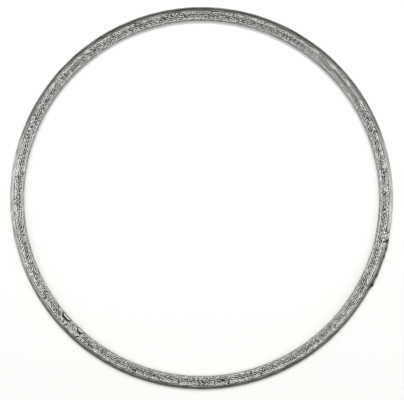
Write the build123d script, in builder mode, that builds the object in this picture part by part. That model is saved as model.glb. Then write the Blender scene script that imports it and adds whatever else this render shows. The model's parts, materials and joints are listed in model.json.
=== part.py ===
from build123d import *

import os
from math import cos, degrees, radians, sin

# Exhaust gasket: a pressed ring of knitted wire, gripped at its rim by a rolled steel strip with lapped ends.
# Millimetres. The ring lies flat: +Z is its axis, z = 0 is the face it rests on, and the origin is at the
# centre of that face. Angles run counter-clockwise from +X, seen from above.

# Ring
OUTER_DIAMETER = 210.0
RADIAL_WIDTH = 7.0
THICKNESS = 3.8

# Rim strip: a channel section, open towards the bore, with an oval nose that is rolled in small flats
STRIP_GAUGE = 0.5
LIP_REACH = 2.6
NOSE_DEPTH = 2.2
NOSE_FLATS = 6

# Lap: one end of the strip is cut down to its web and runs over the outside of the other end
LAP_TIP_ANGLE = 332.5
LAP_LENGTH = 26.0
LAP_CLEARANCE = 0.05
WEB_HALF_WRAP = 45.0
JOGGLE_LENGTH = 5.5
END_GAP = 0.4
TIP_LENGTH = 2.6
TIP_LIFT = 0.25
TIP_HALF_WRAP = 26.0
WELD_COUNT = 2
WELD_SIZE = 1.3

# Knitted wire, pressed: a flat stitched band above, a flat wall in the bore, and loops as ridges between
KNIT_CLEARANCE = 0.05
KNIT_CORNER = 0.55
RIDGE_HEIGHT = 0.22
LOWER_RIDGES = 2

# Stitches: chevron gaps part the loops of the band
STITCH_COUNT = 120
STITCH_GAP = 0.7
STITCH_SLANT = 1.5
STITCH_DEPTH = 0.27
STITCH_MARGIN = 0.12

outer_radius = OUTER_DIAMETER / 2
bore_radius = outer_radius - RADIAL_WIDTH
mid_height = THICKNESS / 2
nose_radius = outer_radius - NOSE_DEPTH
lip_radius = outer_radius - LIP_REACH


def round_angle(length):
    """The angle in degrees that a length takes along the rim."""
    return degrees(length / outer_radius)


def radial_plane(angle):
    """The half plane through the axis at an angle: its x is the radius and its y is the height."""
    outwards = (cos(radians(angle)), sin(radians(angle)), 0)
    across = (sin(radians(angle)), -cos(radians(angle)), 0)
    return Plane(origin=(0, 0, 0), x_dir=outwards, z_dir=across)


def nose_corners(growth, half_wrap=90, lift=0):
    """Corners of the nose's flats in section, lowest first, with its oval grown by an amount all round."""
    corners = []
    for number in range(NOSE_FLATS + 1):
        angle = radians(half_wrap * (2 * number / NOSE_FLATS - 1))
        radius = nose_radius + lift + (NOSE_DEPTH + growth) * cos(angle)
        corners.append((radius, mid_height + (mid_height + growth) * sin(angle)))
    return corners


def web_section(angle, growth, half_wrap=WEB_HALF_WRAP, lift=0):
    """The strip's web alone, wrapped round the nose, with its inside grown from the nose by an amount."""
    with BuildSketch(radial_plane(angle), mode=Mode.PRIVATE) as section:
        with BuildLine():
            near = Polyline(*nose_corners(growth, half_wrap, lift))
            far = Polyline(*nose_corners(growth + STRIP_GAUGE, half_wrap, lift))
            Line(near @ 0, far @ 0)
            Line(near @ 1, far @ 1)
        make_face()
    return section.sketch


# Rim strip, from its free tip over the lap and the joggle to the channel, which ends under the lap.
lift_end = LAP_TIP_ANGLE + round_angle(TIP_LENGTH)
joggle_start = LAP_TIP_ANGLE + round_angle(LAP_LENGTH)
channel_start = joggle_start + round_angle(JOGGLE_LENGTH)
channel_turn = 360 - round_angle(JOGGLE_LENGTH + END_GAP)

with BuildPart() as rim_strip:
    # Lap: the web follows the rim over the other end.
    revolve(web_section(lift_end, LAP_CLEARANCE), axis=Axis.Z, revolution_arc=joggle_start - lift_end)

    # Tip: the free end stands a little off the rim, with its corners snipped.
    tip_section = web_section(LAP_TIP_ANGLE, LAP_CLEARANCE, TIP_HALF_WRAP, TIP_LIFT)
    loft([tip_section, web_section(lift_end, LAP_CLEARANCE)], ruled=True)

    # Joggle: where the lips are cut away, the web steps outwards by its own gauge.
    loft([web_section(joggle_start, LAP_CLEARANCE), web_section(channel_start, -STRIP_GAUGE)], ruled=True)

    # Spot welds: each joins the lap to the end under it, and reaches half the gauge into both.
    for number in range(WELD_COUNT):
        share = (number + 1) / (WELD_COUNT + 1)
        weld_angle = lift_end + share * (joggle_start - lift_end)
        with BuildSketch(radial_plane(weld_angle)):
            with Locations((outer_radius + LAP_CLEARANCE / 2, mid_height)):
                Rectangle(STRIP_GAUGE + LAP_CLEARANCE, WELD_SIZE)
        revolve(axis=Axis.Z, revolution_arc=round_angle(WELD_SIZE))

    # Channel: an oval nose, and two lips that lie flat on the knitted ring.
    with BuildSketch(radial_plane(channel_start)):
        with BuildLine():
            outer_nose = Polyline(*nose_corners(0))
            inner_nose = Polyline(*nose_corners(-STRIP_GAUGE))
            lower_lip = Line(outer_nose @ 0, (lip_radius, 0))
            upper_lip = Line(outer_nose @ 1, (lip_radius, THICKNESS))
            lower_edge = Line(lower_lip @ 1, (lip_radius, STRIP_GAUGE))
            upper_edge = Line(upper_lip @ 1, (lip_radius, THICKNESS - STRIP_GAUGE))
            Line(lower_edge @ 1, inner_nose @ 0)
            Line(upper_edge @ 1, inner_nose @ 1)
        make_face()
    revolve(axis=Axis.Z, revolution_arc=channel_turn)

rim_strip.part.label = "rim_strip"

# Knitted ring: a bead with ridged faces, and a tongue that fills the strip's channel.
knit_edge = lip_radius - KNIT_CLEARANCE
tongue_inset = STRIP_GAUGE + KNIT_CLEARANCE
corner_radius = bore_radius + RIDGE_HEIGHT + KNIT_CORNER
corner_height = RIDGE_HEIGHT + KNIT_CORNER
crest_reach = corner_height * sin(radians(45))
band_edge = corner_radius + RIDGE_HEIGHT

# From the lower face up into the bore: a valley, a ridge round the corner, a valley and the edge of the wall.
lower_corner = [
    (corner_radius, RIDGE_HEIGHT),
    (corner_radius - crest_reach, corner_height - crest_reach),
    (bore_radius + RIDGE_HEIGHT, corner_height),
    (bore_radius, corner_height + RIDGE_HEIGHT),
]
upper_corner = [(radius, THICKNESS - height) for radius, height in lower_corner]

lower_ridges = []
ridge_width = (knit_edge - corner_radius) / LOWER_RIDGES
for ridge in range(LOWER_RIDGES):
    start = corner_radius + ridge * ridge_width
    lower_ridges += [(start + ridge_width / 2, 0), (start + ridge_width, RIDGE_HEIGHT)]

bead = [(knit_edge, THICKNESS), (band_edge, THICKNESS), *upper_corner, *reversed(lower_corner), *lower_ridges]
tongue = [(knit_edge, tongue_inset), *nose_corners(-tongue_inset), (knit_edge, THICKNESS - tongue_inset)]

with BuildPart() as knitted_ring:
    with BuildSketch(Plane.XZ):
        with BuildLine():
            Polyline(*bead, *tongue, close=True)
        make_face()
    revolve(axis=Axis.Z)

    # Stitch gaps: each chevron lies across the band and points round the ring.
    inner_end = band_edge + STITCH_MARGIN
    outer_end = knit_edge - STITCH_MARGIN
    point = (inner_end + outer_end) / 2
    chevron = [
        (inner_end, STITCH_SLANT),
        (point, 0),
        (outer_end, STITCH_SLANT),
        (outer_end, STITCH_SLANT + STITCH_GAP),
        (point, STITCH_GAP),
        (inner_end, STITCH_SLANT + STITCH_GAP),
    ]
    with BuildSketch(Plane.XY.offset(THICKNESS)):
        with PolarLocations(0, STITCH_COUNT):
            Polygon(*chevron, align=None)
    extrude(amount=-STITCH_DEPTH, clean=False, mode=Mode.SUBTRACT)

knitted_ring.part.label = "knitted_ring"

os.makedirs("parts", exist_ok=True)
export_step(rim_strip.part, "parts/rim_strip.step")
export_step(knitted_ring.part, "parts/knitted_ring.step")
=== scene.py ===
import json
from math import atan2, cos, degrees, pi, radians, sin
import random

import bpy
import numpy as np
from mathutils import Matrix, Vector


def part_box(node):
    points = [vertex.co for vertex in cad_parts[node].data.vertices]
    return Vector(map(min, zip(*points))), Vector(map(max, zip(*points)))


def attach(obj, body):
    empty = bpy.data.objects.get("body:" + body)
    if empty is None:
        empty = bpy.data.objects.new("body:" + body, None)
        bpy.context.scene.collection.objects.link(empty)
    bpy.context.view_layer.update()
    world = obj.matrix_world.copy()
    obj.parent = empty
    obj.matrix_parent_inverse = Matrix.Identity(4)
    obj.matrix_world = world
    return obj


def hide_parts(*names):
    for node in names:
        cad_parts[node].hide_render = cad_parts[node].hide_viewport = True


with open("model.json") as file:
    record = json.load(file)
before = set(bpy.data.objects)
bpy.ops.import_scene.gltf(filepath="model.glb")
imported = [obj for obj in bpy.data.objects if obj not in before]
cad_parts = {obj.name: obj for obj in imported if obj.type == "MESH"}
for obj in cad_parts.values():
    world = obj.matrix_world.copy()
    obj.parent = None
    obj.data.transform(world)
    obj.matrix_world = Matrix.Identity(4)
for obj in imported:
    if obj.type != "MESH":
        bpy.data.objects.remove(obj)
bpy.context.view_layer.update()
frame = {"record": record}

bpy.ops.object.select_all(action="DESELECT")


# Knitted wire, outer and inner loops. Stainless wire is knitted as a sleeve, folded flat and pressed in a
# die. Its columns of loops run round the ring, and each course crosses the section from lip to lip. The die
# leaves flats on the crests that catch the light. The wire in the hollows is painted dark with shade.
MM = 0.001
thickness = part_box("rim_strip")[1].z
outer_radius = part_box("rim_strip")[1].x
bore_radius = next(m["dims"]["r_mm"] for m in frame["record"]["mounts"] if m["name"] == "gas_bore") * MM
lip_reach = 2.6 * MM
lip_radius = outer_radius - lip_reach
corner_reach = 0.77 * MM
corner_radius = bore_radius + corner_reach
skin_length = 2 * (lip_radius - corner_radius) + pi * corner_reach + thickness - 2 * corner_reach
wire_radius = 0.19 * MM
outer_courses = 280
inner_courses = 292
outer_inset = 0.1 * MM
inner_inset = 0.55 * MM
columns = 7
points_per_loop = 14

# A course starts to dive just before a lip's edge, and runs on under the lip for the length of its tuck, but
# no further than the room there.
dive = 0.45 * MM
tuck = 0.7 * MM
tuck_drop = 1.0 * MM
room_past_lip = 1.1 * MM

# In the strip's joggle the lips are cut away, and a longer tuck fills the gap up to the web. Angles are in
# degrees. A course beside the gap swings into it, and its wire keeps a margin from the lips' ends.
lap_tip = 332.5
lap_length = 26 * MM
joggle_length = 5.5 * MM
end_gap = 0.4 * MM
joggle_start = lap_tip + degrees(lap_length / outer_radius)
gap_start = joggle_start - degrees(end_gap / outer_radius)
gap_end = joggle_start + degrees(joggle_length / outer_radius)
gap_tuck = 2.0 * MM
gap_drop = 0.42 * MM
gap_margin = 0.1
gap_swing = 0.9
web_room = 0.9 * MM

# How the loops lie and differ. Slip, reach and wander are shares of the pitch between courses, and the bulge
# is a share of a column's width. Near the lips the wire is crushed wider.
slip_spread = 0.17
usual_reach = 0.78
reach_spread = 0.12
lift_spread = 0.09 * MM
loop_bulge = 0.13
wander = 0.25
wander_rate = 1.9
weave = 0.13 * MM
crushed_wider = 0.6
crushed_from = 1.5 * MM
crushed_fully = 0.5 * MM

# At the lower left two strands of wire have parted from the bore's wall, and the wall behind them is drawn
# in. The pull is full along a strand, and fades towards its ends.
sprung_places = (
    {"angle": 221.3, "length": 7.2 * MM, "wires": 3},
    {"angle": 227.5, "length": 4.8 * MM, "wires": 2},
)
pull = 1.7 * MM
pull_reach = 2.8 * MM
pull_fade = 0.4


def ease(share):
    """A share from 0 to 1 that leaves and arrives gently."""
    return share * share * (3 - 2 * share)


def skin(distance, in_gap=False):
    """Radius, height and outward normal of the pressed skin, at a distance from the upper lip's edge."""
    flat = lip_radius - corner_radius
    quarter = corner_reach * pi / 2
    half_way = skin_length / 2
    mirrored = distance > half_way
    if mirrored:
        distance = 2 * half_way - distance
    radius = lip_radius - distance
    height = thickness
    outwards, upwards = 0, 1
    if distance < 0 and in_gap:
        # The wire drops in the first third of its tuck, and follows the nose down to four times that depth.
        under = -distance / gap_tuck
        height -= gap_drop * (min(1, 3 * under) + 3 * under ** 4)
    elif distance < dive and not in_gap:
        under = min(1, (dive - distance) / (dive + tuck))
        height -= tuck_drop * ease(under)
    elif distance >= flat + quarter:
        radius = bore_radius
        height -= corner_reach + distance - flat - quarter
        outwards, upwards = -1, 0
    elif distance >= flat:
        turn = (distance - flat) / corner_reach
        radius = corner_radius - corner_reach * sin(turn)
        height -= corner_reach * (1 - cos(turn))
        outwards, upwards = -sin(turn), cos(turn)
    if mirrored:
        height = thickness - height
        upwards = -upwards
    return radius, height, outwards, upwards


def drawn_in(radius, angle):
    """How far the wire is drawn outwards behind a sprung place, at a radius and an angle in radians."""
    depth = 0
    for place in sprung_places:
        share = abs(angle % (2 * pi) - radians(place["angle"])) * bore_radius / (place["length"] / 2)
        if share < 1:
            depth = max(depth, pull * min(1, (1 - share) / pull_fade))
    return depth * max(0, 1 - (radius - bore_radius) / pull_reach)


def press_in_die(mesh):
    """Flattens what stands past the die's faces, and notes how deep each point lies and where painted sheen
    goes.
    """
    place = np.empty(len(mesh.vertices) * 3)
    mesh.vertices.foreach_get("co", place)
    place = place.reshape(-1, 3)
    radius = np.hypot(place[:, 0], place[:, 1])
    height = place[:, 2].copy()
    flat_height = np.clip(height, 0, thickness)
    centre_height = np.clip(flat_height, corner_reach, thickness - corner_reach)
    inward = np.minimum(radius - corner_radius, 0)
    rise = flat_height - centre_height
    distance = np.hypot(inward, rise)
    over = np.maximum(distance / corner_reach, 1)
    pressed_radius = np.where(inward < 0, corner_radius + inward / over, radius)
    place[:, :2] *= (pressed_radius / radius)[:, None]
    place[:, 2] = np.where(inward < 0, centre_height + rise / over, flat_height)
    mesh.vertices.foreach_set("co", place.ravel())

    # Past the lip's edge the skin lies lower, so the depth there is measured from the dropped wire.
    edge_width = 0.3 * MM
    below_skin = np.where(inward < 0, corner_reach - distance, np.minimum(height, thickness - height))
    past_lip = np.clip((radius - lip_radius) / edge_width, 0, 1)
    below_skin = np.maximum(below_skin - gap_drop * past_lip, 0)

    # Painted sheen goes on the wall of the bore, and on a crest that runs round the ring just inside the
    # lips.
    crest_from_lip = 1.05 * MM
    crest_width = 0.75 * MM
    crest_sheen = 0.6
    on_wall = np.clip(-inward / corner_reach, 0, 1) ** 4
    off_crest = np.abs(radius - lip_radius + crest_from_lip) / crest_width
    on_crest = crest_sheen * np.clip(1 - off_crest, 0, 1)
    depth = mesh.attributes.new("depth", "FLOAT", "POINT")
    depth.data.foreach_set("value", (below_skin / MM).astype(np.float32))
    painted_sheen = mesh.attributes.new("painted_sheen", "FLOAT", "POINT")
    painted_sheen.data.foreach_set("value", np.maximum(on_wall, on_crest).astype(np.float32))
    mesh.update()


def knit_layer(name, seed, courses, inset, first, last):
    """Courses of knitted wire between two numbers of a layer, pressed against the die."""
    luck = random.Random(seed)
    pitch = 2 * pi * bore_radius / courses
    slip = [[luck.gauss(0, slip_spread) for _ in range(columns + 2)] for _ in range(courses)]
    reach = [[luck.gauss(usual_reach, reach_spread) for _ in range(columns + 2)] for _ in range(courses)]
    lift = [[luck.gauss(0, lift_spread) for _ in range(columns + 2)] for _ in range(courses)]
    curve = bpy.data.curves.new(name, "CURVE")
    curve.dimensions = "3D"
    curve.bevel_depth = wire_radius
    curve.bevel_resolution = 0
    curve.twist_mode = "Z_UP"
    curve.use_fill_caps = True
    for course in range(first, last):
        by_gap = gap_start - gap_swing < degrees(course * pitch / bore_radius) % 360 < gap_end + gap_swing
        tuck_here = gap_tuck if by_gap else tuck
        column_width = (skin_length + 2 * tuck_here) / columns
        spline = curve.splines.new("POLY")
        spline.points.add(columns * points_per_loop)
        for number, point in enumerate(spline.points):
            turn = number / points_per_loop
            column = int(turn)
            share = turn - column
            slip_here, reach_here, lift_here = (
                draws[course][column] * (1 - ease(share)) + draws[course][column + 1] * ease(share)
                for draws in (slip, reach, lift)
            )
            swing = 2 * pi * share
            across = -tuck_here + column_width * (turn + loop_bulge * sin(2 * swing) + slip_here / 2)
            drift = slip_here + wander * sin(turn * wander_rate + seed)
            angle = pitch * (course + drift - reach_here * cos(swing)) / bore_radius
            in_gap = by_gap and gap_start + gap_margin < degrees(angle) % 360 < gap_end - gap_margin
            radius, height, outwards, upwards = skin(across, in_gap)
            radius = min(radius, outer_radius - web_room if in_gap else lip_radius + room_past_lip)
            depth = inset + weave * cos(2 * swing) - lift_here
            radius -= depth * outwards
            height -= depth * upwards
            radius += drawn_in(radius, angle)
            point.co = (radius * cos(angle), radius * sin(angle), height, 1)

            # The wire has four sides here, and turned by an eighth it lies with a flat along the skin.
            point.tilt = pi / 4
            from_lip = min(across, skin_length - across)
            crushed = (crushed_from - from_lip) / (crushed_from - crushed_fully)
            point.radius = 1 + crushed_wider * min(1, max(0, crushed))
    piece = bpy.data.objects.new(name, curve)
    bpy.context.scene.collection.objects.link(piece)
    piece.select_set(True)
    bpy.context.view_layer.objects.active = piece
    bpy.ops.object.convert(target="MESH")
    piece = bpy.context.view_layer.objects.active
    press_in_die(piece.data)
    bpy.ops.object.shade_smooth_by_angle(angle=radians(55))
    piece.select_set(False)
    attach(piece, "root")
    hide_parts("knitted_ring")
    return piece


loops = [
    knit_layer("outer_loops_a", 3, outer_courses, outer_inset, 0, outer_courses // 2),
    knit_layer("outer_loops_b", 4, outer_courses, outer_inset, outer_courses // 2, outer_courses),
    knit_layer("inner_loops_a", 5, inner_courses, inner_inset, 0, inner_courses // 2),
    knit_layer("inner_loops_b", 6, inner_courses, inner_inset, inner_courses // 2, inner_courses),
]


def linear(hex_colour):
    """An sRGB hex colour as linear red, green, blue and alpha."""
    values = [int(hex_colour[place:place + 2], 16) / 255 for place in (1, 3, 5)]
    return [v / 12.92 if v <= 0.04045 else ((v + 0.055) / 1.055) ** 2.4 for v in values] + [1]


def new_material(name):
    """A material with an empty node tree."""
    material = bpy.data.materials.new(name)
    material.use_nodes = True
    material.node_tree.nodes.clear()
    return material


def add_node(owner, kind, inputs, **settings):
    """Adds a node to a material or the world. An input is a value, or another node's output to link."""
    made = owner.node_tree.nodes.new(kind)
    for name, value in settings.items():
        setattr(made, name, value)
    for socket, value in inputs.items():
        if isinstance(value, bpy.types.NodeSocket):
            owner.node_tree.links.new(value, made.inputs[socket])
        else:
            made.inputs[socket].default_value = value
    return made


# A Mix node has its two colours at these places among its inputs, and the mixed one among its outputs.
colour_a = 6
colour_b = 7
mixed = 2


def drawn_wire():
    """Stainless steel wire, drawn, knitted and pressed.

    The pressed flats shine almost white, and painted sheen makes the bore's wall and a crest inside the lips
    almost white too. Drawing grease that stayed on mottles the wire from stitch to stitch, broad patches are
    a duller grey, and the hollows get painted shade, dark and a little brown.
    """
    mottle_size = 1.2 * MM
    patch_size = 17 * MM
    material = new_material("stainless_wire_drawn_and_pressed")
    place = add_node(material, "ShaderNodeTexCoord", {}).outputs["Object"]
    mottle = add_node(
        material, "ShaderNodeTexNoise", {"Vector": place, "Scale": 1 / mottle_size, "Detail": 2.0}
    )
    clean = add_node(
        material, "ShaderNodeMapRange", {"Value": mottle.outputs["Fac"], "From Min": 0.38, "From Max": 0.6}
    )
    patch = add_node(
        material, "ShaderNodeTexNoise", {"Vector": place, "Scale": 1 / patch_size, "Detail": 2.0}
    )

    # The depth below the skin is in millimetres. The hollows get painted shade, and where painted sheen lies
    # the wire stays bright to a greater depth.
    depth = add_node(material, "ShaderNodeAttribute", {}, attribute_name="depth")
    painted_sheen = add_node(material, "ShaderNodeAttribute", {}, attribute_name="painted_sheen")
    deepest = add_node(
        material, "ShaderNodeMapRange", {"Value": painted_sheen.outputs["Fac"], "To Min": 0.5, "To Max": 1.4}
    )
    painted_hollow_shade = add_node(
        material, "ShaderNodeMapRange",
        {"Value": depth.outputs["Fac"], "From Min": 0.12, "From Max": deepest.outputs[0]},
    )
    bright = add_node(
        material, "ShaderNodeMix",
        {"Factor": clean.outputs[0], colour_a: linear("#6e6d6b"), colour_b: linear("#f6f6f5")},
        data_type="RGBA",
    )
    worn = add_node(
        material, "ShaderNodeMix",
        {"Factor": patch.outputs["Fac"], colour_a: bright.outputs[mixed], colour_b: linear("#b3b2af")},
        data_type="RGBA",
    )
    # Painted sheen: the bore's wall and the crest just inside the lips are painted almost white.
    with_painted_sheen = add_node(
        material, "ShaderNodeMix",
        {"Factor": painted_sheen.outputs["Fac"], colour_a: worn.outputs[mixed], colour_b: linear("#eeeeec")},
        data_type="RGBA",
    )
    # Painted shade: the deeper the wire lies below the skin, the darker it is painted, down to a brownish
    # dark grey.
    colour = add_node(
        material, "ShaderNodeMix",
        {"Factor": painted_hollow_shade.outputs[0], colour_a: with_painted_sheen.outputs[mixed], colour_b: linear("#54524f")},
        data_type="RGBA",
    )
    rough = add_node(
        material, "ShaderNodeMapRange", {"Value": mottle.outputs["Fac"], "To Min": 0.16, "To Max": 0.3}
    )
    shader = add_node(
        material, "ShaderNodeBsdfPrincipled",
        {"Base Color": colour.outputs[mixed], "Roughness": rough.outputs[0], "Metallic": 1.0},
    )
    add_node(material, "ShaderNodeOutputMaterial", {"Surface": shader.outputs[0]})
    return material


wire_finish = drawn_wire()
for piece in loops:
    piece.data.materials.append(wire_finish)


# Stray loops. They are stainless wires of the same knitting that have sprung out of the bore's wall, and
# their ends are still held in it. At the lower left two strands leave slits that light shows through, and at
# the left two single wires stand out into the bore.
stray_radius = 0.13 * MM
stray_root = 0.35 * MM
stray_points = 12
strand_bulge = 0.3 * MM
strand_spacing = 0.33 * MM
strand_height = 0.35 * MM
strand_stagger = 0.2 * MM
single_wires = (
    {"angle": 186.1, "length": 2.0 * MM, "bulge": 0.75 * MM, "height": 0.62 * thickness},
    {"angle": 193.9, "length": 2.4 * MM, "bulge": 0.75 * MM, "height": 0.62 * thickness},
)
stray_curve = bpy.data.curves.new("stray_loops", "CURVE")
stray_curve.dimensions = "3D"
stray_curve.bevel_depth = stray_radius
stray_curve.bevel_resolution = 2
stray_curve.use_fill_caps = True
strays = []
for place in sprung_places:
    for number in range(place["wires"]):
        bulge = strand_bulge - strand_spacing * number
        height = strand_height + strand_stagger * (number % 2)
        strays.append({"angle": place["angle"], "length": place["length"], "bulge": bulge, "height": height})
for stray in (*strays, *single_wires):
    spline = stray_curve.splines.new("POLY")
    spline.points.add(stray_points)
    for number, point in enumerate(spline.points):
        share = 2 * number / stray_points - 1
        turn = radians(stray["angle"]) + share * stray["length"] / (2 * bore_radius)
        radius = bore_radius + stray_root - stray["bulge"] * cos(share * pi / 2)
        point.co = (radius * cos(turn), radius * sin(turn), stray["height"], 1)
stray_loops = bpy.data.objects.new("stray_loops", stray_curve)
bpy.context.scene.collection.objects.link(stray_loops)
stray_loops.select_set(True)
bpy.context.view_layer.objects.active = stray_loops
bpy.ops.object.convert(target="MESH")
stray_loops = bpy.context.view_layer.objects.active
bpy.ops.object.shade_smooth()
stray_loops.select_set(False)
stray_loops.data.materials.append(wire_finish)
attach(stray_loops, "root")
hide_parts("knitted_ring")


# Dense middle of the knitted ring. Folds of the same wire are crushed together here, so that no light gets
# through and no single wire can be told. Its near-black colour is painted shade. It reaches into the strip's
# channel, and is seen only between loops.
core_inset = 0.95 * MM
core_steps = 480
core_height = thickness - 2 * core_inset
core_width = outer_radius - bore_radius - 2 * core_inset
core_middle = ((bore_radius + outer_radius) / 2, 0, thickness / 2)
bpy.ops.mesh.primitive_circle_add(
    vertices=16, radius=core_height / 2, fill_type="NGON", location=core_middle, rotation=(pi / 2, 0, 0)
)
core = bpy.context.active_object
core.name = "crushed_core"
bpy.ops.object.mode_set(mode="EDIT")
bpy.ops.transform.resize(value=(core_width / core_height, 1, 1), center_override=core_middle)
bpy.ops.mesh.spin(steps=core_steps, angle=2 * pi, center=(0, 0, 0), axis=(0, 0, 1))
bpy.ops.mesh.select_all(action="SELECT")
bpy.ops.mesh.remove_doubles(threshold=0.02 * MM)
bpy.ops.mesh.select_all(action="SELECT")
bpy.ops.mesh.normals_make_consistent(inside=False)
bpy.ops.object.mode_set(mode="OBJECT")
bpy.ops.object.transform_apply(location=True, rotation=True, scale=True)
bpy.ops.object.shade_smooth()
core.select_set(False)

# Behind the sprung strands it is drawn in with the loops.
for vertex in core.data.vertices:
    radius = vertex.co.to_2d().length
    moved = (radius + drawn_in(radius, atan2(vertex.co.y, vertex.co.x))) / radius
    vertex.co.x *= moved
    vertex.co.y *= moved


def crushed_wire():
    """Stainless steel wire, knitted and crushed together.

    It is painted a dark, grainy grey between the bright loops, and the dark is painted shade. Single wires
    would be too fine to show, so the grain is drawn 0.42 mm wide.
    """
    grain_size = 0.42 * MM
    material = new_material("stainless_wire_crushed_painted_shade")
    place = add_node(material, "ShaderNodeTexCoord", {}).outputs["Object"]
    grain = add_node(
        material, "ShaderNodeTexNoise", {"Vector": place, "Scale": 1 / grain_size, "Detail": 4.0}
    )
    # Painted shade: the crushed wire is painted near black, for the shade among its folds.
    colour = add_node(
        material, "ShaderNodeMix",
        {"Factor": grain.outputs["Fac"], colour_a: linear("#22201e"), colour_b: linear("#54514d")},
        data_type="RGBA",
    )
    bump = add_node(
        material, "ShaderNodeBump", {"Height": grain.outputs["Fac"], "Strength": 0.8, "Distance": 0.1 * MM}
    )
    shader = add_node(
        material, "ShaderNodeBsdfPrincipled",
        {"Base Color": colour.outputs[mixed], "Normal": bump.outputs[0], "Roughness": 0.6, "Metallic": 1.0},
    )
    add_node(material, "ShaderNodeOutputMaterial", {"Surface": shader.outputs[0]})
    return material


core.data.materials.append(crushed_wire())
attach(core, "root")
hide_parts("knitted_ring")


# Rim strip. Stainless strip is rolled round the knitted ring as a channel, and closed down on both faces. One
# end is cut down to its web, steps out by its own gauge, laps over the outside of the other end and is spot
# welded there.
gauge = 0.5 * MM
nose_depth = 3.4 * MM
nose_radius = outer_radius - nose_depth
half_web = 1.35 * MM
tip_length = 2.6 * MM
tip_lift = 0.25 * MM
tip_snip = 0.4
lift_end = lap_tip + degrees(tip_length / outer_radius)
lap_clearance = 0.05 * MM
lap_growth = gauge + lap_clearance
lap_height = 1 + lap_growth / (thickness / 2)
strip_steps = 420

# The nose starts as an oval, cut off at the lips' edges and spun round the ring.
bpy.ops.mesh.primitive_circle_add(
    vertices=36, radius=thickness / 2, location=(nose_radius, 0, thickness / 2), rotation=(pi / 2, 0, 0)
)
strip = bpy.context.active_object
strip.name = "rolled_strip"
bpy.ops.object.transform_apply(location=True, rotation=True, scale=True)
bpy.ops.object.mode_set(mode="EDIT")
bpy.ops.mesh.select_all(action="SELECT")
bpy.ops.transform.resize(value=(nose_depth / (thickness / 2), 1, 1), center_override=(nose_radius, 0, 0))
bpy.ops.mesh.bisect(plane_co=(lip_radius, 0, 0), plane_no=(1, 0, 0), clear_inner=True, threshold=0.001 * MM)
bpy.ops.mesh.select_all(action="SELECT")
bpy.ops.mesh.spin(
    steps=strip_steps, angle=-radians(360 - (gap_end - gap_start)), center=(0, 0, 0), axis=(0, 0, 1)
)

# The web's edge at the start is drawn out backwards: first the joggle, then the lap, and the lifted tip.
bpy.ops.object.mode_set(mode="OBJECT")
for part in (*strip.data.polygons, *strip.data.edges):
    part.select = False
for vertex in strip.data.vertices:
    at_start = abs(vertex.co.y) < 0.01 * MM
    in_web = vertex.co.x > nose_radius and abs(vertex.co.z - thickness / 2) < half_web
    vertex.select = at_start and in_web
bpy.ops.object.mode_set(mode="EDIT")
bpy.ops.mesh.select_mode(type="VERT")

# A station is an angle from the start, how far the web stands out there, and how its height is stretched.
stations = []
for share in (0.25, 0.5, 0.75, 1):
    angle = share * (joggle_start - gap_end)
    stations.append((angle, ease(share) * lap_growth, 1 + ease(share) * (lap_height - 1)))
for share in (0.2, 0.4, 0.6, 0.8, 1):
    angle = joggle_start - gap_end + share * (lift_end - joggle_start)
    stations.append((angle, lap_growth, lap_height))
for share in (0.34, 0.67, 1):
    angle = lift_end - gap_end + share * (lap_tip - lift_end)
    stations.append((angle, lap_growth + tip_lift * share, lap_height * (1 - tip_snip * share ** 3)))
angle_now = 0
growth_now = 0
stretch_now = 1
for angle, growth, stretch in stations:
    outwards = Vector((cos(radians(angle_now)), sin(radians(angle_now)), 0))
    bpy.ops.mesh.extrude_region_move(TRANSFORM_OT_translate={"value": (0, 0, 0)})
    bpy.ops.transform.translate(value=(growth - growth_now) * outwards)
    bpy.ops.transform.resize(value=(1, 1, stretch / stretch_now), center_override=(0, 0, thickness / 2))
    bpy.ops.transform.rotate(
        value=radians(angle_now - angle), orient_axis="Z", orient_type="GLOBAL", center_override=(0, 0, 0)
    )
    angle_now = angle
    growth_now = growth
    stretch_now = stretch

# The sheet gets its gauge towards the inside, so its faces have to point outwards first.
bpy.ops.mesh.select_all(action="SELECT")
bpy.ops.mesh.normals_make_consistent(inside=False)
bpy.ops.object.mode_set(mode="OBJECT")
widest = max(strip.data.polygons, key=lambda face: face.center.to_2d().length)
if widest.normal.dot(widest.center) < 0:
    strip.data.flip_normals()
strip.rotation_euler.z = radians(gap_end)
bpy.ops.object.transform_apply(location=True, rotation=True, scale=True)
sheet_wall = strip.modifiers.new("gauge", "SOLIDIFY")
sheet_wall.thickness = gauge
sheet_wall.offset = -1
sheet_wall.use_even_offset = True
bpy.ops.object.modifier_apply(modifier=sheet_wall.name)
deburred_edge = strip.modifiers.new("deburred_edges", "BEVEL")
deburred_edge.width = 0.07 * MM
deburred_edge.segments = 2
deburred_edge.limit_method = "ANGLE"
deburred_edge.angle_limit = radians(50)
bpy.ops.object.modifier_apply(modifier=deburred_edge.name)
bpy.ops.object.shade_smooth_by_angle(angle=radians(35))
strip.select_set(False)

# The strip is painted darker round four spots along the lap, the first at its tip.
mark_radius = outer_radius + lap_growth
mark_height = 0.7 * thickness
dark_spots_on_lap = (
    {"angle": lap_tip, "reach": 3.2 * MM},
    {"angle": 336.2, "reach": 2.0 * MM},
    {"angle": 342.4, "reach": 2.2 * MM},
    {"angle": 344.7, "reach": 2.2 * MM},
)


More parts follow.
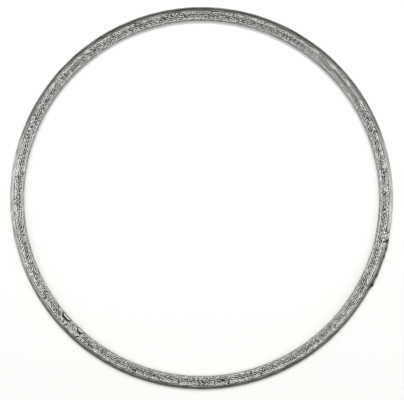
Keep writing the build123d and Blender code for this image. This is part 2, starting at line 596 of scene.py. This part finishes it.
def rolled_steel():
    """Stainless steel strip, cold rolled.

    Fine rolling lines run along it and draw its glints out round the ring. It has faint stains, darker spots
    along its lap and small dents along its lips. Real rolling lines are far too fine to show, so they are
    drawn
    0.42 mm wide.
    """
    line_width = 0.42 * MM
    line_length = 4.8 * MM
    stain_size = 11 * MM
    dent_size = 1.9 * MM
    dented_within = 1.2 * MM
    material = new_material("stainless_strip_rolled")
    place = add_node(material, "ShaderNodeTexCoord", {}).outputs["Object"]
    axes = add_node(material, "ShaderNodeSeparateXYZ", {"Vector": place})
    radius = add_node(material, "ShaderNodeVectorMath", {0: place}, operation="LENGTH").outputs["Value"]
    around = add_node(material, "ShaderNodeVectorMath", {0: place}, operation="NORMALIZE").outputs[0]
    turn = add_node(material, "ShaderNodeSeparateXYZ", {"Vector": around})

    # The lines are noise that is fine outwards and upwards, and long round the ring.
    outwards = add_node(material, "ShaderNodeMath", {0: radius, 1: line_width}, operation="DIVIDE")
    upwards = add_node(material, "ShaderNodeMath", {0: axes.outputs["Z"], 1: line_width}, operation="DIVIDE")
    lines_round = outer_radius / line_length
    along_x = add_node(
        material, "ShaderNodeMath", {0: turn.outputs["X"], 1: lines_round}, operation="MULTIPLY"
    )
    along_y = add_node(
        material, "ShaderNodeMath", {0: turn.outputs["Y"], 1: lines_round}, operation="MULTIPLY"
    )
    drawn = add_node(
        material, "ShaderNodeCombineXYZ",
        {"X": outwards.outputs[0], "Y": upwards.outputs[0], "Z": along_x.outputs[0]},
    )
    lines = add_node(
        material, "ShaderNodeTexNoise",
        {"Vector": drawn.outputs[0], "W": along_y.outputs[0], "Scale": 1.0, "Detail": 3.0},
        noise_dimensions="4D",
    )
    streak = add_node(
        material, "ShaderNodeMapRange", {"Value": lines.outputs["Fac"], "From Min": 0.38, "From Max": 0.66}
    )
    steel = add_node(
        material, "ShaderNodeMix",
        {"Factor": streak.outputs[0], colour_a: linear("#8b8b86"), colour_b: linear("#dededa")},
        data_type="RGBA",
    )
    patch = add_node(
        material, "ShaderNodeTexNoise", {"Vector": place, "Scale": 1 / stain_size, "Detail": 3.0}
    )
    stain = add_node(
        material, "ShaderNodeMapRange",
        {"Value": patch.outputs["Fac"], "From Min": 0.45, "From Max": 0.8, "To Max": 0.55},
    )
    colour = add_node(
        material, "ShaderNodeMix",
        {"Factor": stain.outputs[0], colour_a: steel.outputs[mixed], colour_b: linear("#7b7a72")},
        data_type="RGBA",
    )
    # Round each spot on the lap the strip is painted darker, most at the middle.
    lap_darkening = 0.0
    for mark in dark_spots_on_lap:
        turned = radians(mark["angle"])
        middle = (mark_radius * cos(turned), mark_radius * sin(turned), mark_height)
        away = add_node(material, "ShaderNodeVectorMath", {0: place, 1: middle}, operation="DISTANCE")
        darkened = add_node(
            material, "ShaderNodeMapRange",
            {"Value": away.outputs["Value"], "From Min": mark["reach"], "From Max": 0.4 * mark["reach"],
             "To Max": 0.9},
        )
        lap_darkening = add_node(
            material, "ShaderNodeMath", {0: darkened.outputs[0], 1: lap_darkening}, operation="MAXIMUM"
        ).outputs[0]
    darkened_at_lap = add_node(
        material, "ShaderNodeMix",
        {"Factor": lap_darkening, colour_a: colour.outputs[mixed], colour_b: linear("#3d3b37")},
        data_type="RGBA",
    )
    rough = add_node(
        material, "ShaderNodeMapRange", {"Value": lines.outputs["Fac"], "To Min": 0.28, "To Max": 0.42}
    )
    bump = add_node(
        material, "ShaderNodeBump", {"Height": lines.outputs["Fac"], "Strength": 0.35, "Distance": 0.02 * MM}
    )
    dents = add_node(
        material, "ShaderNodeTexNoise", {"Vector": place, "Scale": 1 / dent_size, "Detail": 2.0}
    )
    near_lip = add_node(
        material, "ShaderNodeMapRange",
        {"Value": radius, "From Min": lip_radius + dented_within, "From Max": lip_radius, "To Max": 0.9},
    )
    dented = add_node(
        material, "ShaderNodeBump",
        {"Height": dents.outputs["Fac"], "Strength": near_lip.outputs[0], "Distance": 0.45 * MM,
         "Normal": bump.outputs[0]},
    )
    shader = add_node(
        material, "ShaderNodeBsdfPrincipled",
        {"Base Color": darkened_at_lap.outputs[mixed], "Normal": dented.outputs[0], "Roughness": rough.outputs[0],
         "Metallic": 1.0},
    )
    add_node(material, "ShaderNodeOutputMaterial", {"Surface": shader.outputs[0]})
    return material


strip.data.materials.append(rolled_steel())
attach(strip, "root")
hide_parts("rim_strip")


# Floor. It is a sheet of matt white paper that takes the ring's shadow. Near the ring almost all its light
# is from the lamps. Further out, where they don't reach, it glows to the camera and in the metal, and so it
# stays white.
floor_size = 3.0
glow_from = 0.3
glow_by_ring = 0.02
glow_at_edge = 0.95
bpy.ops.mesh.primitive_plane_add(size=floor_size, location=(0, 0, -0.02 * MM))
floor = bpy.context.active_object
floor.name = "floor"
floor.select_set(False)
white_sheet = new_material("white_sheet")
seen = add_node(white_sheet, "ShaderNodeLightPath", {})
seen_or_reflected = add_node(
    white_sheet, "ShaderNodeMath",
    {0: seen.outputs["Is Camera Ray"], 1: seen.outputs["Is Glossy Ray"]}, operation="MAXIMUM",
)
seen_at_all = add_node(
    white_sheet, "ShaderNodeMath",
    {0: seen_or_reflected.outputs[0], 1: seen.outputs["Is Transmission Ray"]}, operation="MAXIMUM",
)
sheet_place = add_node(white_sheet, "ShaderNodeTexCoord", {}).outputs["Object"]
from_ring = add_node(white_sheet, "ShaderNodeVectorMath", {0: sheet_place}, operation="LENGTH")
past_lamps = add_node(
    white_sheet, "ShaderNodeMapRange",
    {"Value": from_ring.outputs["Value"], "From Min": glow_from, "From Max": floor_size / 2,
     "To Min": glow_by_ring, "To Max": glow_at_edge},
    interpolation_type="SMOOTHSTEP",
)
glow = add_node(
    white_sheet, "ShaderNodeMath",
    {0: seen_at_all.outputs[0], 1: past_lamps.outputs[0]}, operation="MULTIPLY",
)
paper = add_node(
    white_sheet, "ShaderNodeBsdfPrincipled",
    {"Base Color": linear("#e9e9e7"), "Roughness": 0.9, "Specular IOR Level": 0.1,
     "Emission Color": linear("#ffffff"), "Emission Strength": glow.outputs[0]},
)
add_node(white_sheet, "ShaderNodeOutputMaterial", {"Surface": paper.outputs[0]})
floor.data.materials.append(white_sheet)


# Light. A soft key stands at the far side, a long bank hangs over the ring, and a lamp stands at each side.
# The backdrop is white to the camera alone. The metal mirrors a dim room instead, because the strip's nose is
# dark in the photograph, all along its top and bottom.
world = bpy.data.worlds.new("room")
bpy.context.scene.world = world
world.use_nodes = True
world.node_tree.nodes.clear()
room = add_node(world, "ShaderNodeBackground", {"Color": linear("#8c8c8c"), "Strength": 0.42})
backdrop = add_node(world, "ShaderNodeBackground", {"Color": linear("#fdfdfc"), "Strength": 1.0})
looked_at = add_node(world, "ShaderNodeLightPath", {}).outputs["Is Camera Ray"]
either = add_node(world, "ShaderNodeMixShader", {0: looked_at, 1: room.outputs[0], 2: backdrop.outputs[0]})
add_node(world, "ShaderNodeOutputWorld", {"Surface": either.outputs[0]})


def soft_light(name, place, size_x, size_y, watts):
    """A rectangular soft light that faces the ring."""
    lamp = bpy.data.lights.new(name, "AREA")
    lamp.shape = "RECTANGLE"
    lamp.size = size_x
    lamp.size_y = size_y
    lamp.energy = watts
    holder = bpy.data.objects.new(name, lamp)
    bpy.context.scene.collection.objects.link(holder)
    holder.location = place
    holder.rotation_euler = (-Vector(place)).to_track_quat("-Z", "Y").to_euler()
    return holder


key = soft_light("key", place=(0, 0.5, 0.85), size_x=0.5, size_y=0.3, watts=6)
key.visible_glossy = False
soft_light("bank", place=(0, 0, 1.0), size_x=1.8, size_y=1.1, watts=8)
soft_light("left", place=(-0.9, 0, 0.45), size_x=0.6, size_y=0.9, watts=2.2)
soft_light("right", place=(0.9, 0, 0.45), size_x=0.6, size_y=0.9, watts=2.2)


# Camera. It looks straight down, and its lens makes the rim as wide in the frame as in the photograph. The
# frame's size, the rim's width and the ring's centre in it are in pixels.
frame_width = 404
frame_height = 400
rim_width = 382.6
ring_centre_x = 201.6
ring_centre_y = 198.3
pixel = 2 * outer_radius / rim_width
camera_height = 0.27
sensor_width = 36.0
lens = bpy.data.cameras.new("camera")
lens.sensor_width = sensor_width
lens.lens = sensor_width * (camera_height - thickness / 2) / (frame_width * pixel)
camera = bpy.data.objects.new("camera", lens)
bpy.context.scene.collection.objects.link(camera)
camera.location = (
    (frame_width / 2 - ring_centre_x) * pixel, (ring_centre_y - frame_height / 2) * pixel, camera_height
)
bpy.context.scene.camera = camera
bpy.context.scene.view_settings.view_transform = "Standard"
